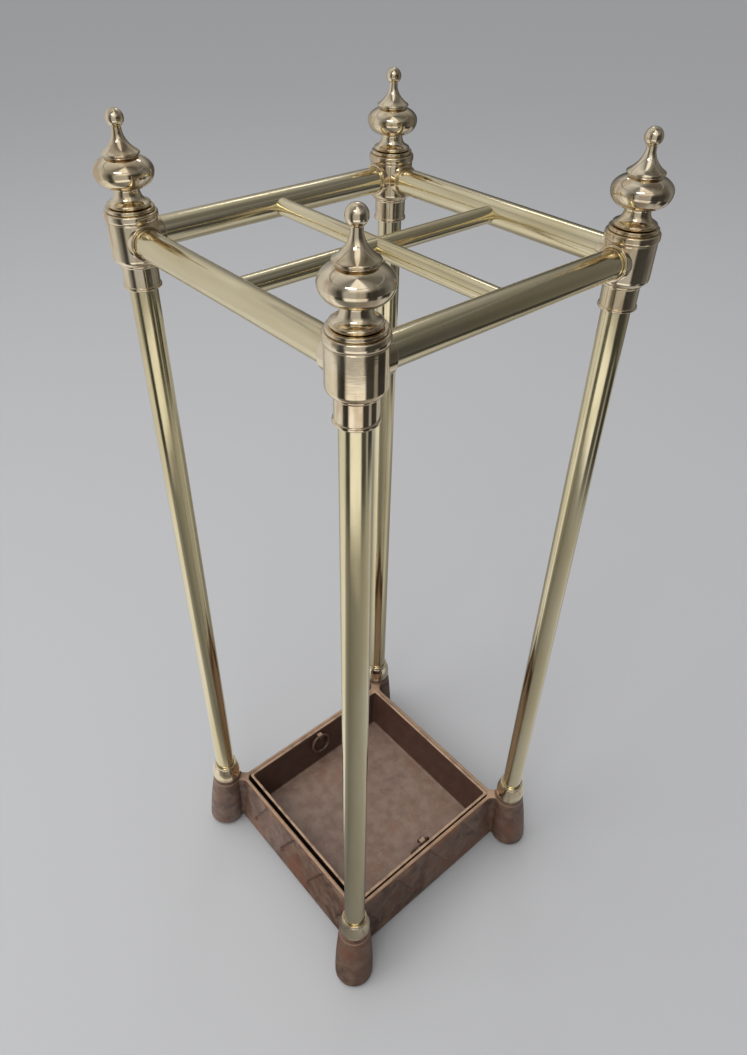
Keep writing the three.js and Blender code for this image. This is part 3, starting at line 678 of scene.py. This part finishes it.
FINIAL_BASE, CUP_R = 581.95, 11.0
BULB_R, BULB_HEIGHT = 15.6, 599.3
SKIRT_R, SKIRT_HEIGHT = 9.75, 608.0  # the thin edge where the spire flares out over the bulb
BALL_R, BALL_HEIGHT = 4.6, 623.7
THREAD_TOP = 599.6


def arc(centre, radii, start, end, steps):
    """Points of an elliptical arc in an outline, in degrees, with both ends."""
    turns = [math.radians(start + (end - start) * i / steps) for i in range(steps + 1)]
    return [Vector((centre[0] + radii[0] * math.cos(t), centre[1] + radii[1] * math.sin(t)))
            for t in turns]


cup = softened([(ROD_BORE_R, FINIAL_BASE, 0), (CUP_R - 0.1, FINIAL_BASE, 0.3),
                (CUP_R + 0.5, FINIAL_BASE + 1.35, 0.5), (CUP_R, FINIAL_BASE + 1.95, 0.25)], 4)
waist = arc((11.1, 590.1), (4.5, 6.0), 262, 180, 12)
under_bulb = [Vector((6.8, 590.7)), Vector((7.4, 591.05)), Vector((8.4, 591.25))]
bulb = (arc((7.6, BULB_HEIGHT), (8.0, 8.0), -76, 0, 14)
        + arc((0, BULB_HEIGHT), (BULB_R, 8.3), 4, 55, 14))
skirt = softened([(8.75, SKIRT_HEIGHT - 1.6, 0), (8.5, SKIRT_HEIGHT - 1.1, 0.1),
                  (8.7, SKIRT_HEIGHT - 0.9, 0.1), (9.7, SKIRT_HEIGHT - 0.6, 0.15),
                  (SKIRT_R, SKIRT_HEIGHT, 0.15), (9.3, SKIRT_HEIGHT + 0.5, 0.1)], 3)
spire = arc((27.2, 618.9), (24.7, 15.2), 224, 180, 18)
ball = arc((0, BALL_HEIGHT), (BALL_R, BALL_R), -57, 90, 20)
thread_hole = [Vector((0, THREAD_TOP)), Vector((ROD_BORE_R, THREAD_TOP))]
finial = turned(cup + waist + under_bulb + bulb + skirt + spire + ball + thread_hole, 128,
                closed=True)
mark_crevices(finial, 3)
for corner, (x, y) in CORNERS.items():
    placed(finial, "turned_finial_" + corner, "stand", "finial_" + corner, TURNED_BRASS,
           Matrix.Translation((x * AXIS, y * AXIS, 0)), keep=True)
finial.free()


# ---- Tie rods, nuts and washers ----
# Plain steel rod up the middle of each corner, with a nut and a washer in a pocket under the foot.
# Only their ends show, from below. The steel is grey and a little rusty.

STEEL = iron_finish(
    "grey_steel", lacquer=rgb(0.30, 0.30, 0.31), dark=rgb(0.14, 0.13, 0.125),
    worn=rgb(0.5, 0.49, 0.48), rust=rgb(0.16, 0.07, 0.03), sheen=0.3)
for corner in CORNERS:
    for node in ("tie_rod_", "nut_", "washer_"):
        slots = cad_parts[node + corner].data.materials
        slots.clear()
        slots.append(STEEL)


# ---- Studio ----
# A pale floor under even daylight and soft boxes above and on the left. Two lamps and three cards
# that show in the polished brass stand in for a room, with light and dark things round about.

floor_mesh = bmesh.new()
bmesh.ops.create_grid(floor_mesh, x_segments=1, y_segments=1, size=20)
floor = object_of(floor_mesh, "studio_floor")
pale, pale_shader, _ = new_finish("pale_floor")
feed(pale_shader, Base_Color=rgb(0.37, 0.37, 0.375), Roughness=1.0, Specular_IOR_Level=0.0)
floor.data.materials.append(pale)


def lamp(kind, name, place, target, power, shines=False):
    """A light that points at the target. One that shines shows in polished metal too."""
    light = bpy.data.lights.new(name, kind)
    light.energy = power
    made = bpy.data.objects.new(name, light)
    bpy.context.scene.collection.objects.link(made)
    made.location = place
    made.rotation_euler = (Vector(target) - Vector(place)).to_track_quat("-Z", "Y").to_euler()
    made.visible_glossy = shines
    return light


lamp("AREA", "overhead_box", (-0.2, 0.3, 2.4), (0, 0, 0.3), 18).size = 2.4
lamp("AREA", "left_box", (-1.7, 0.6, 1.1), (0, 0, 0.4), 14).size = 1.4
lamp("SUN", "daylight", (-0.5, 0.3, 1.6), (0, 0, 0), 1.95).angle = math.radians(75)
lamp("AREA", "front_lamp", (-1.25, -0.75, 1.75), (0, 0, 0.6), 9, shines=True).size = 0.8
lamp("AREA", "far_lamp", (1.1, 1.1, 1.9), (0, 0, 0.6), 3, shines=True).size = 0.5

CARD_RADIUS, ROOM_TOP, CEILING_RADIUS, CEILING_HEIGHT = 1.2, 1.6, 1.5, 2.0
WARM_GREEN, WARM_BLUE = 0.985, 0.96  # the cards' greys are a little warm


def card(name, outline, near, far, reach, glow=False):
    """A card swept round the stand, seen only in reflections. Its stops are (direction in degrees,
    grey). They change from near to far over a reach of radius, or of height if it glows."""
    bm = bmesh.new()
    verts = [bm.verts.new((across, 0, height)) for across, height in outline]
    edges = [bm.edges.new(pair) for pair in zip(verts, verts[1:])]
    bmesh.ops.spin(bm, geom=verts + edges, cent=(0, 0, 0), axis=(0, 0, 1), dvec=(0, 0, 0),
                   angle=FULL_TURN, steps=96, use_merge=True, use_duplicate=False)
    made = object_of(bm, name)
    material, shader, where = new_finish(name)
    turn = where.node("ShaderNodeTexGradient", {"gradient_type": "RADIAL"}, {"Vector": where},
                      "Fac")
    ramps = []
    for stops in (near, far):
        greys = [((way + 180) / 360, rgb(grey, grey * WARM_GREEN, grey * WARM_BLUE))
                 for way, grey in stops]
        ramps.append(turn.node("ShaderNodeValToRGB", {"stops": greys}, {"Fac": turn}, "Color"))
    if glow:
        height = where.node("ShaderNodeSeparateXYZ", None, {"Vector": where}, "Z")
        feed(shader, Base_Color=rgb(0, 0, 0), Emission_Color=height.between(*reach).blend(*ramps),
             Emission_Strength=1.0, Specular_IOR_Level=0.0)
    else:
        radius = where.node("ShaderNodeVectorMath", {"operation": "LENGTH"}, {0: where}, "Value")
        feed(shader, Base_Color=radius.between(*reach).blend(*ramps), Roughness=1.0,
             Specular_IOR_Level=0.0)
    made.data.materials.append(material)
    made.visible_camera = False
    made.visible_shadow = False
    made.visible_diffuse = False


FLOOR_NEAR = [(-180, 0.17), (-166, 0.12), (-135, 0.18), (-100, 0.24), (-50, 0.36), (-32, 0.46),
              (-12, 0.28), (8, 0.20), (60, 0.22), (90, 0.34), (115, 0.52), (135, 0.60), (158, 0.62),
              (168, 0.22), (180, 0.17)]
FLOOR_FAR = [(-180, 0.03), (-168, 0.03), (-160, 0.72), (-106, 0.80), (-99, 0.05), (-76, 0.05),
             (-70, 0.30), (-62, 0.30), (-56, 0.03), (-24, 0.04), (-16, 0.40), (30, 0.32),
             (75, 0.30), (110, 0.48), (150, 0.52), (164, 0.42), (171, 0.05), (180, 0.03)]
ROOM = [(-180, 0.06), (-168, 0.06), (-160, 0.45), (-112, 0.50), (-104, 0.05), (-60, 0.06),
        (-25, 0.22), (0, 0.13), (35, 0.07), (65, 0.28), (90, 0.50), (120, 0.62), (150, 0.66),
        (164, 0.30), (180, 0.10)]
CEILING = [(-180, 0.22), (-158, 0.25), (-146, 1.0), (-104, 1.1), (-92, 0.35), (-50, 0.14),
           (-15, 0.16), (20, 0.35), (90, 0.70), (150, 0.45), (180, 0.22)]
card("floor_card", [(0.0, 0.002), (CARD_RADIUS, 0.002)], FLOOR_NEAR, FLOOR_FAR, (0.60, 0.80))
card("room_card", [(1.15, 0.003), (CARD_RADIUS, ROOM_TOP)], ROOM, CEILING, (0.75, 1.5), glow=True)
card("ceiling_card", [(CEILING_RADIUS, CEILING_HEIGHT), (0.0, CEILING_HEIGHT)], CEILING, CEILING,
     (0.0, 1.0), glow=True)

world = bpy.data.worlds.new("studio")
world.use_nodes = True
sky = world.node_tree.nodes["Background"]
sky.inputs["Color"].default_value = rgb(0.55, 0.56, 0.58)
sky.inputs["Strength"].default_value = 0.5
bpy.context.scene.world = world

camera_data = bpy.data.cameras.new("camera")
camera_data.sensor_width = 36
camera_data.lens = 27.1
camera_data.clip_start = 0.01
camera = bpy.data.objects.new("camera", camera_data)
bpy.context.scene.collection.objects.link(camera)
heading, tilt, roll = math.radians(-41.76), math.radians(39.2147), math.radians(1.2227)
back = Vector((math.sin(heading) * math.cos(tilt), -math.cos(heading) * math.cos(tilt),
               math.sin(tilt)))
right = Vector((math.cos(heading), math.sin(heading), 0))
up = back.cross(right)
across = right * math.cos(roll) + up * math.sin(roll)
upwards = up * math.cos(roll) - right * math.sin(roll)
pose = Matrix((across, upwards, back)).transposed().to_4x4()
pose.translation = Vector((-280.7, -315.7, 716.9)) * MM
camera.matrix_world = pose
bpy.context.scene.camera = camera
bpy.context.scene.view_settings.view_transform = "Standard"
